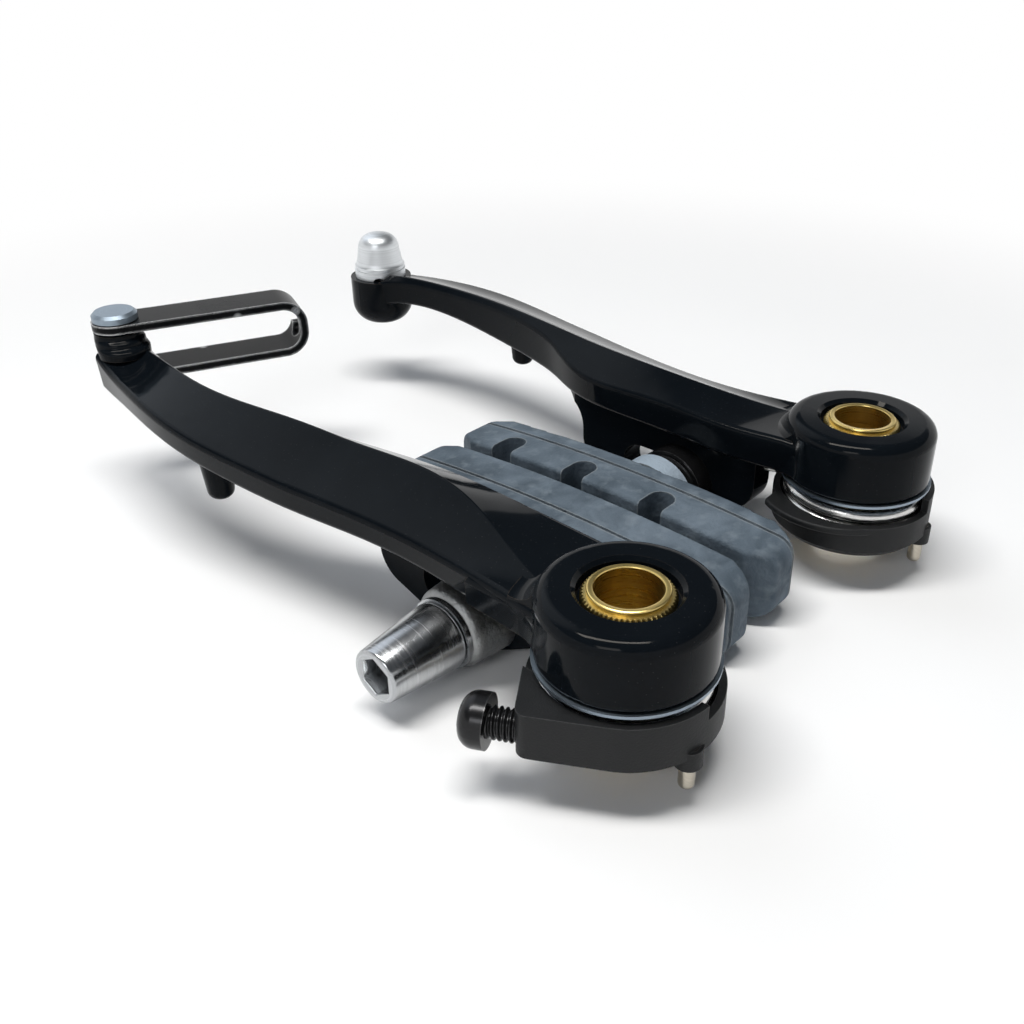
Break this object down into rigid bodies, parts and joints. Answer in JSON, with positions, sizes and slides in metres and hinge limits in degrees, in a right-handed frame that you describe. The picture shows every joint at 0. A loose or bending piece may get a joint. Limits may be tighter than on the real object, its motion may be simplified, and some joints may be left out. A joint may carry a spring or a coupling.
{
  "type": "v brake",
  "caption": "Linear-pull bicycle rim brake: mirrored black arms with brass pivot bushes, grooved pads, coil return springs, a noodle link and a cable anchor bolt.",
  "frame": {"origin": "midway between the two pivot axes, on the plane where the spring housings seat on the frame bosses", "axes": "+Z along the pivot axes, out of the front faces; +Y from the pivots to the arm tips; +X from the arm with the link to the arm with the cable bolt"},
  "size_m": [0.0934, 0.1236, 0.0311],
  "materials": {
    "arm_black": "gloss black anodised forging",
    "bush_brass": "turned brass",
    "plain_steel": "plain steel",
    "spring_steel": "drawn spring wire",
    "housing_plastic": "moulded black plastic",
    "black_steel": "blackened steel",
    "pad_rubber": "slate grey rubber",
    "bright_plate": "bright plated steel",
    "raw_alloy": "tumbled raw alloy"
  },
  "bodies": {
    "frame_side": {"left_spring_housing": "housing_plastic", "left_locating_pin": "plain_steel", "right_spring_housing": "housing_plastic", "right_locating_pin": "plain_steel"},
    "left_arm_body": {"left_arm": "arm_black", "left_pivot_bush": "bush_brass", "left_thrust_washer": "plain_steel", "left_return_spring": "spring_steel", "link_rivet": "plain_steel"},
    "left_post_set": {"left_pad_post": "plain_steel", "left_cup_washer": "black_steel", "left_ball_washer": "bright_plate", "left_outer_cup_washer": "raw_alloy", "left_outer_ball_washer": "bright_plate", "left_pad_nut": "bright_plate"},
    "left_pad_body": {"left_brake_pad": "pad_rubber"},
    "left_screw_body": {"left_tension_screw": "black_steel"},
    "right_arm_body": {"right_arm": "arm_black", "right_pivot_bush": "bush_brass", "right_thrust_washer": "plain_steel", "right_return_spring": "spring_steel", "cable_anchor_bolt": "bright_plate", "cable_clamp_washer": "bright_plate"},
    "right_post_set": {"right_pad_post": "plain_steel", "right_cup_washer": "black_steel", "right_ball_washer": "bright_plate", "right_outer_cup_washer": "raw_alloy", "right_outer_ball_washer": "bright_plate", "right_pad_nut": "bright_plate"},
    "right_pad_body": {"right_brake_pad": "pad_rubber"},
    "right_screw_body": {"right_tension_screw": "black_steel"},
    "link_body": {"noodle_link": "black_steel"}
  },
  "joints": [
    {"name": "left_arm_pivot", "type": "hinge", "parent": "frame_side", "child": "left_arm_body", "pos_m": [-0.0284, 0, 0], "axis": [0, 0, -1], "range_deg": [-20, 1], "stiffness_Nm_per_rad": 0.4, "deforming": ["left_return_spring"]},
    {"name": "left_pad_height", "type": "slide", "parent": "left_arm_body", "child": "left_post_set", "axis": [0, 1, 0], "range_m": [-0.002, 0.008]},
    {"name": "left_pad_turn", "type": "hinge", "parent": "left_post_set", "child": "left_pad_body", "pos_m": [-0.0284, 0.026, 0.0008], "axis": [-1, 0, 0], "range_deg": [0, 90]},
    {"name": "left_tension_screw_feed", "type": "slide", "parent": "frame_side", "child": "left_screw_body", "axis": [0.4384, -0.8988, 0], "range_m": [-0.001, 0.002]},
    {"name": "right_arm_pivot", "type": "hinge", "parent": "frame_side", "child": "right_arm_body", "pos_m": [0.0284, 0, 0], "axis": [0, 0, 1], "range_deg": [-20, 1], "stiffness_Nm_per_rad": 0.4, "deforming": ["right_return_spring"]},
    {"name": "right_pad_height", "type": "slide", "parent": "right_arm_body", "child": "right_post_set", "axis": [0, 1, 0], "range_m": [-0.002, 0.008]},
    {"name": "right_pad_turn", "type": "hinge", "parent": "right_post_set", "child": "right_pad_body", "pos_m": [0.0284, 0.026, 0.0008], "axis": [-1, 0, 0], "range_deg": [0, 90]},
    {"name": "right_tension_screw_feed", "type": "slide", "parent": "frame_side", "child": "right_screw_body", "axis": [-0.4384, -0.8988, 0], "range_m": [-0.001, 0.002]},
    {"name": "link_swing", "type": "hinge", "parent": "left_arm_body", "child": "link_body", "pos_m": [-0.0284, 0.1055, 0.0174], "axis": [0, 0, 1], "range_deg": [-15, 85]}
  ]
}
